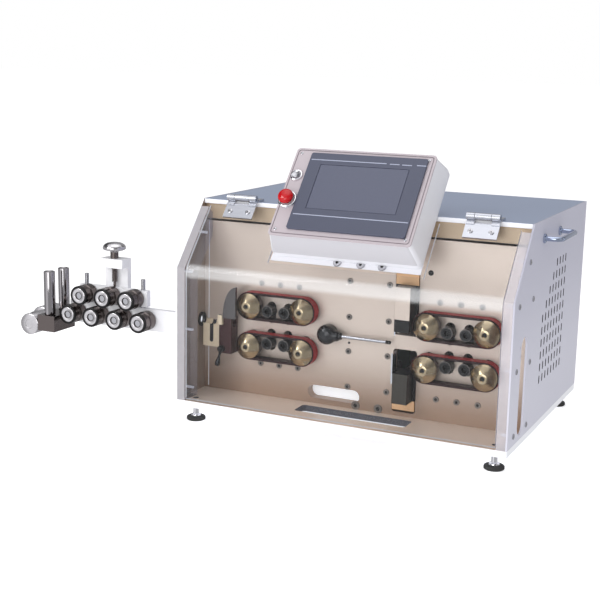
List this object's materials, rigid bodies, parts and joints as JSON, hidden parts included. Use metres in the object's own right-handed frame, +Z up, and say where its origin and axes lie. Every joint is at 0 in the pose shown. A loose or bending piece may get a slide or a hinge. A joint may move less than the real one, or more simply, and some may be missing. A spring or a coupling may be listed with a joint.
{
  "type": "wire cutting and stripping machine",
  "caption": "Bench machine that straightens, feeds, cuts and strips wire, with a clear hinged front cover, a tilted touchscreen pod and a roller straightener on a side arm.",
  "frame": {"origin": "middle of the footprint's bounding box, at the underside of the feet", "axes": "+X to the operator's right along the wire, +Y to the back, +Z up"},
  "size_m": [1.014, 0.4704, 0.4761],
  "materials": {
    "base_paint": "satin",
    "panel_paint": "satin",
    "top_paint": "satin",
    "plate_metal": "brushed",
    "clear_plastic": "clear",
    "chrome": "polished",
    "foot_rubber": "matt",
    "socket_plastic": "matt",
    "motor_metal": "satin",
    "electronics": "plain",
    "pod_paint": "satin",
    "pod_face_paint": "satin",
    "screen_plastic": "satin",
    "inlet_metal": "anodised",
    "arm_paint": "satin",
    "holder_metal": "anodised",
    "estop_plastic": "gloss",
    "switch_metal": "brushed",
    "lever_plastic": "gloss",
    "slide_metal": "anodised",
    "blade_steel": "ground",
    "tube_metal": "satin",
    "carrier_metal": "anodised",
    "belt_rubber": "matt",
    "pulley_brass": "turned"
  },
  "bodies": {
    "housing": {"base_plate": "base_paint", "left_side_panel": "panel_paint", "right_side_panel": "panel_paint", "top_panel": "top_paint", "rear_panel": "panel_paint", "mechanism_plate": "plate_metal", "cover_side_strips": "clear_plastic", "carry_handles": "chrome", "levelling_feet": "foot_rubber", "power_inlet": "socket_plastic", "drive_motors": "motor_metal", "control_electronics": "electronics", "cover_hinge_bases": "chrome", "pod_housing": "pod_paint", "pod_bracket": "pod_paint", "pod_face": "pod_face_paint", "touchscreen": "screen_plastic", "inlet_guide": "inlet_metal", "straightener_arm": "arm_paint", "straightener_bracket": "arm_paint", "inlet_roller_holder": "holder_metal"},
    "cover": {"cover_sheet": "clear_plastic", "cover_hinge_leaves": "chrome"},
    "estop_button": {"estop_button": "estop_plastic"},
    "start_switch": {"start_switch": "switch_metal"},
    "clamp_lever": {"clamp_lever": "lever_plastic"},
    "upper_tool": {"upper_tool_slide": "slide_metal", "upper_blade": "blade_steel"},
    "lower_tool": {"lower_tool_slide": "slide_metal", "lower_blade": "blade_steel"},
    "guide_tube": {"guide_tube": "tube_metal"},
    "lower_roller_1": {"lower_roller_1": "switch_metal"},
    "lower_roller_2": {"lower_roller_2": "switch_metal"},
    "lower_roller_3": {"lower_roller_3": "switch_metal"},
    "lower_roller_4": {"lower_roller_4": "switch_metal"},
    "adjusting_screw": {"adjusting_screw": "chrome"},
    "slide_block": {"roller_slide_block": "switch_metal"},
    "upper_roller_1": {"upper_roller_1": "switch_metal"},
    "upper_roller_2": {"upper_roller_2": "switch_metal"},
    "upper_roller_3": {"upper_roller_3": "switch_metal"},
    "front_upright_roller": {"front_upright_roller": "chrome"},
    "rear_upright_roller": {"rear_upright_roller": "chrome"},
    "front_lying_roller": {"front_lying_roller": "chrome"},
    "rear_lying_roller": {"rear_lying_roller": "chrome"},
    "left_upper_carrier": {"left_upper_carrier": "carrier_metal", "left_upper_belt": "belt_rubber"},
    "left_upper_outer_pulley": {"left_upper_outer_pulley": "pulley_brass"},
    "left_upper_inner_pulley": {"left_upper_inner_pulley": "pulley_brass"},
    "left_lower_carrier": {"left_lower_carrier": "carrier_metal", "left_lower_belt": "belt_rubber"},
    "left_lower_outer_pulley": {"left_lower_outer_pulley": "pulley_brass"},
    "left_lower_inner_pulley": {"left_lower_inner_pulley": "pulley_brass"},
    "right_upper_carrier": {"right_upper_carrier": "carrier_metal", "right_upper_belt": "belt_rubber"},
    "right_upper_outer_pulley": {"right_upper_outer_pulley": "pulley_brass"},
    "right_upper_inner_pulley": {"right_upper_inner_pulley": "pulley_brass"},
    "right_lower_carrier": {"right_lower_carrier": "carrier_metal", "right_lower_belt": "belt_rubber"},
    "right_lower_outer_pulley": {"right_lower_outer_pulley": "pulley_brass"},
    "right_lower_inner_pulley": {"right_lower_inner_pulley": "pulley_brass"}
  },
  "joints": [
    {"name": "cover_hinge", "type": "hinge", "parent": "housing", "child": "cover", "pos_m": [0.18, -0.13864, 0.38625], "axis": [-1, 0, 0], "range_deg": [0, 110]},
    {"name": "estop_press", "type": "slide", "parent": "housing", "child": "estop_button", "axis": [0, 0.7642, -0.645], "range_m": [0, 0.004], "stiffness_N_per_m": 1500},
    {"name": "start_press", "type": "slide", "parent": "housing", "child": "start_switch", "axis": [0, 0.7642, -0.645], "range_m": [0, 0.0025], "stiffness_N_per_m": 1500},
    {"name": "clamp_turn", "type": "hinge", "parent": "housing", "child": "clamp_lever", "pos_m": [-0.064, -0.15279, 0.12], "axis": [0, 1, 0], "range_deg": [-60, 60]},
    {"name": "upper_tool_slide", "type": "slide", "parent": "housing", "child": "upper_tool", "axis": [0, 0, -1], "range_m": [0, 0.017]},
    {"name": "lower_tool_slide", "type": "slide", "parent": "housing", "child": "lower_tool", "axis": [0, 0, 1], "range_m": [0, 0.017]},
    {"name": "guide_tube_swing", "type": "hinge", "parent": "housing", "child": "guide_tube", "pos_m": [0.131, -0.12879, 0.166], "axis": [0, -1, 0], "range_deg": [0, 25]},
    {"name": "lower_roller_1_spin", "type": "hinge", "parent": "housing", "child": "lower_roller_1", "pos_m": [-0.387, -0.14279, 0.147], "axis": [0, 1, 0], "continuous": true},
    {"name": "lower_roller_2_spin", "type": "hinge", "parent": "housing", "child": "lower_roller_2", "pos_m": [-0.336, -0.14279, 0.147], "axis": [0, 1, 0], "continuous": true},
    {"name": "lower_roller_3_spin", "type": "hinge", "parent": "housing", "child": "lower_roller_3", "pos_m": [-0.285, -0.14279, 0.147], "axis": [0, 1, 0], "continuous": true},
    {"name": "lower_roller_4_spin", "type": "hinge", "parent": "housing", "child": "lower_roller_4", "pos_m": [-0.234, -0.14279, 0.147], "axis": [0, 1, 0], "continuous": true},
    {"name": "screw_turn", "type": "hinge", "parent": "housing", "child": "adjusting_screw", "pos_m": [-0.3105, -0.11904, 0.228], "axis": [0, 0, 1], "range_deg": [-180, 720]},
    {"name": "block_lift", "type": "slide", "parent": "housing", "child": "slide_block", "axis": [0, 0, 1], "range_m": [-0.002, 0.008]},
    {"name": "upper_roller_1_spin", "type": "hinge", "parent": "slide_block", "child": "upper_roller_1", "pos_m": [-0.3615, -0.14279, 0.185], "axis": [0, 1, 0], "continuous": true},
    {"name": "upper_roller_2_spin", "type": "hinge", "parent": "slide_block", "child": "upper_roller_2", "pos_m": [-0.3105, -0.14279, 0.185], "axis": [0, 1, 0], "continuous": true},
    {"name": "upper_roller_3_spin", "type": "hinge", "parent": "slide_block", "child": "upper_roller_3", "pos_m": [-0.2595, -0.14279, 0.185], "axis": [0, 1, 0], "continuous": true},
    {"name": "front_upright_roller_spin", "type": "hinge", "parent": "housing", "child": "front_upright_roller", "pos_m": [-0.426, -0.16279, 0.178], "axis": [0, 0, 1], "continuous": true},
    {"name": "rear_upright_roller_spin", "type": "hinge", "parent": "housing", "child": "rear_upright_roller", "pos_m": [-0.426, -0.11879, 0.178], "axis": [0, 0, 1], "continuous": true},
    {"name": "front_lying_roller_spin", "type": "hinge", "parent": "housing", "child": "front_lying_roller", "pos_m": [-0.467, -0.14479, 0.122], "axis": [0, 1, 0], "continuous": true},
    {"name": "rear_lying_roller_spin", "type": "hinge", "parent": "housing", "child": "rear_lying_roller", "pos_m": [-0.487, -0.08979, 0.122], "axis": [0, 1, 0], "continuous": true},
    {"name": "left_upper_close", "type": "slide", "parent": "housing", "child": "left_upper_carrier", "axis": [0, 0, -1], "range_m": [0, 0.009]},
    {"name": "left_upper_outer_pulley_spin", "type": "hinge", "parent": "left_upper_carrier", "child": "left_upper_outer_pulley", "pos_m": [-0.0135, -0.14079, 0.2015], "axis": [0, 1, 0], "continuous": true},
    {"name": "left_upper_inner_pulley_spin", "type": "hinge", "parent": "left_upper_carrier", "child": "left_upper_inner_pulley", "pos_m": [0.0875, -0.14079, 0.2015], "axis": [0, 1, 0], "continuous": true},
    {"name": "left_lower_close", "type": "slide", "parent": "housing", "child": "left_lower_carrier", "axis": [0, 0, 1], "range_m": [0, 0.009]},
    {"name": "left_lower_outer_pulley_spin", "type": "hinge", "parent": "left_lower_carrier", "child": "left_lower_outer_pulley", "pos_m": [-0.0135, -0.14079, 0.1305], "axis": [0, 1, 0], "continuous": true},
    {"name": "left_lower_inner_pulley_spin", "type": "hinge", "parent": "left_lower_carrier", "child": "left_lower_inner_pulley", "pos_m": [0.0875, -0.14079, 0.1305], "axis": [0, 1, 0], "continuous": true},
    {"name": "right_upper_close", "type": "slide", "parent": "housing", "child": "right_upper_carrier", "axis": [0, 0, -1], "range_m": [0, 0.009]},
    {"name": "right_upper_outer_pulley_spin", "type": "hinge", "parent": "right_upper_carrier", "child": "right_upper_outer_pulley", "pos_m": [0.4115, -0.14079, 0.2015], "axis": [0, 1, 0], "continuous": true},
    {"name": "right_upper_inner_pulley_spin", "type": "hinge", "parent": "right_upper_carrier", "child": "right_upper_inner_pulley", "pos_m": [0.3105, -0.14079, 0.2015], "axis": [0, 1, 0], "continuous": true},
    {"name": "right_lower_close", "type": "slide", "parent": "housing", "child": "right_lower_carrier", "axis": [0, 0, 1], "range_m": [0, 0.009]},
    {"name": "right_lower_outer_pulley_spin", "type": "hinge", "parent": "right_lower_carrier", "child": "right_lower_outer_pulley", "pos_m": [0.4115, -0.14079, 0.1305], "axis": [0, 1, 0], "continuous": true},
    {"name": "right_lower_inner_pulley_spin", "type": "hinge", "parent": "right_lower_carrier", "child": "right_lower_inner_pulley", "pos_m": [0.3105, -0.14079, 0.1305], "axis": [0, 1, 0], "continuous": true}
  ],
  "couplings": [
    {"joint": "lower_tool_slide", "follows": "upper_tool_slide", "ratio": 1},
    {"joint": "screw_turn", "follows": "block_lift", "rad_per_m": 1570.8},
    {"joint": "left_upper_inner_pulley_spin", "follows": "left_upper_outer_pulley_spin", "ratio": 1},
    {"joint": "left_lower_inner_pulley_spin", "follows": "left_lower_outer_pulley_spin", "ratio": 1},
    {"joint": "left_lower_close", "follows": "left_upper_close", "ratio": 1},
    {"joint": "right_upper_inner_pulley_spin", "follows": "right_upper_outer_pulley_spin", "ratio": 1},
    {"joint": "right_lower_inner_pulley_spin", "follows": "right_lower_outer_pulley_spin", "ratio": 1},
    {"joint": "right_lower_close", "follows": "right_upper_close", "ratio": 1}
  ]
}
